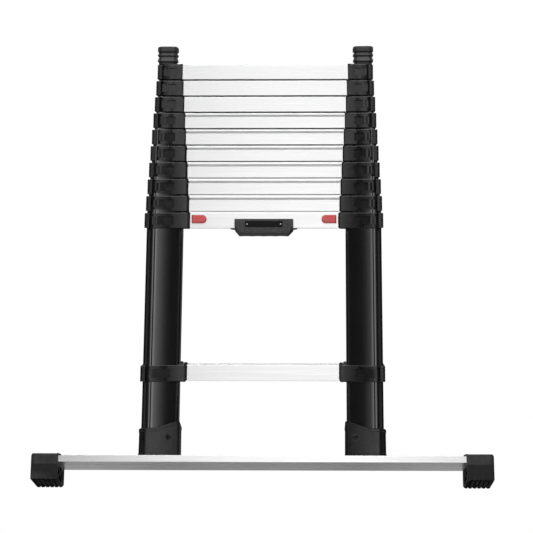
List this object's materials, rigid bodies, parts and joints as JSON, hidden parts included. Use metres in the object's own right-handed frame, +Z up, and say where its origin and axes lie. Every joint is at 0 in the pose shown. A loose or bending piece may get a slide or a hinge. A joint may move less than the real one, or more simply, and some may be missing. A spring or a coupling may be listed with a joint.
{
  "type": "telescoping ladder",
  "caption": "Closed telescoping ladder with nested black stile tubes, flat treads, red release buttons and a wide stabiliser bar on rubber feet.",
  "frame": {"origin": "on the ground, midway between the two rubber feet", "axes": "+X along the treads to the climber's right, +Y away from the climber towards the wall, +Z up the stiles"},
  "size_m": [0.8486, 0.095, 0.8817],
  "materials": {
    "black_anodised": "black anodised, fine lengthwise brushing",
    "black_nylon": "moulded glass-filled nylon, fine satin texture",
    "tread_aluminium": "silver anodised extrusion, satin",
    "bar_aluminium": "silver anodised extrusion, satin",
    "foot_rubber": "moulded rubber, matt",
    "plug_rubber": "moulded rubber, matt",
    "grip_nylon": "coarse grained moulding",
    "label": "smooth blank label",
    "red_plastic": "moulded, lightly glossy",
    "white_nylon": "plain moulded nylon",
    "steel": "zinc plated"
  },
  "bodies": {
    "base": {"base_stile_left": "black_anodised", "base_stile_right": "black_anodised", "top_collar_left": "black_nylon", "top_collar_right": "black_nylon", "low_collar_left": "black_nylon", "low_collar_right": "black_nylon", "tread_10": "tread_aluminium", "tread_11": "tread_aluminium", "foot_bracket_left": "black_nylon", "foot_bracket_right": "black_nylon", "bracket_screw_left": "steel", "bracket_screw_right": "steel", "bar_bolt_left": "steel", "bar_bolt_right": "steel", "bar_nut_left": "steel", "bar_nut_right": "steel", "stabiliser_bar": "bar_aluminium", "foot_left": "foot_rubber", "foot_right": "foot_rubber", "spring_seat_left": "white_nylon", "spring_seat_right": "white_nylon", "pin_bush_left": "white_nylon", "pin_bush_right": "white_nylon", "lock_spring_left": "steel", "lock_spring_right": "steel", "carry_grip": "grip_nylon", "label_plate": "label"},
    "section_9": {"stile_left_9": "black_anodised", "stile_right_9": "black_anodised", "tread_9": "tread_aluminium"},
    "section_8": {"stile_left_8": "black_anodised", "stile_right_8": "black_anodised", "tread_8": "tread_aluminium"},
    "section_7": {"stile_left_7": "black_anodised", "stile_right_7": "black_anodised", "tread_7": "tread_aluminium"},
    "section_6": {"stile_left_6": "black_anodised", "stile_right_6": "black_anodised", "tread_6": "tread_aluminium"},
    "section_5": {"stile_left_5": "black_anodised", "stile_right_5": "black_anodised", "tread_5": "tread_aluminium"},
    "section_4": {"stile_left_4": "black_anodised", "stile_right_4": "black_anodised", "tread_4": "tread_aluminium"},
    "section_3": {"stile_left_3": "black_anodised", "stile_right_3": "black_anodised", "tread_3": "tread_aluminium"},
    "section_2": {"stile_left_2": "black_anodised", "stile_right_2": "black_anodised", "tread_2": "tread_aluminium"},
    "section_1": {"stile_left_1": "black_anodised", "stile_right_1": "black_anodised", "tread_1": "tread_aluminium", "top_plug_left": "plug_rubber", "top_plug_right": "plug_rubber"},
    "release_left": {"release_button_left": "red_plastic", "lock_pin_left": "steel"},
    "release_right": {"release_button_right": "red_plastic", "lock_pin_right": "steel"}
  },
  "joints": [
    {"name": "section_9_slide", "type": "slide", "parent": "base", "child": "section_9", "axis": [0, 0, 1], "range_m": [0, 0.2658]},
    {"name": "section_8_slide", "type": "slide", "parent": "section_9", "child": "section_8", "axis": [0, 0, 1], "range_m": [0, 0.2658]},
    {"name": "section_7_slide", "type": "slide", "parent": "section_8", "child": "section_7", "axis": [0, 0, 1], "range_m": [0, 0.2658]},
    {"name": "section_6_slide", "type": "slide", "parent": "section_7", "child": "section_6", "axis": [0, 0, 1], "range_m": [0, 0.2658]},
    {"name": "section_5_slide", "type": "slide", "parent": "section_6", "child": "section_5", "axis": [0, 0, 1], "range_m": [0, 0.2658]},
    {"name": "section_4_slide", "type": "slide", "parent": "section_5", "child": "section_4", "axis": [0, 0, 1], "range_m": [0, 0.2658]},
    {"name": "section_3_slide", "type": "slide", "parent": "section_4", "child": "section_3", "axis": [0, 0, 1], "range_m": [0, 0.2658]},
    {"name": "section_2_slide", "type": "slide", "parent": "section_3", "child": "section_2", "axis": [0, 0, 1], "range_m": [0, 0.2658]},
    {"name": "section_1_slide", "type": "slide", "parent": "section_2", "child": "section_1", "axis": [0, 0, 1], "range_m": [0, 0.2658]},
    {"name": "release_left_slide", "type": "slide", "parent": "base", "child": "release_left", "axis": [1, 0, 0], "range_m": [0, 0.008], "stiffness_N_per_m": 400, "springref_m": -0.01, "deforming": ["lock_spring_left"]},
    {"name": "release_right_slide", "type": "slide", "parent": "base", "child": "release_right", "axis": [-1, 0, 0], "range_m": [0, 0.008], "stiffness_N_per_m": 400, "springref_m": -0.01, "deforming": ["lock_spring_right"]}
  ]
}
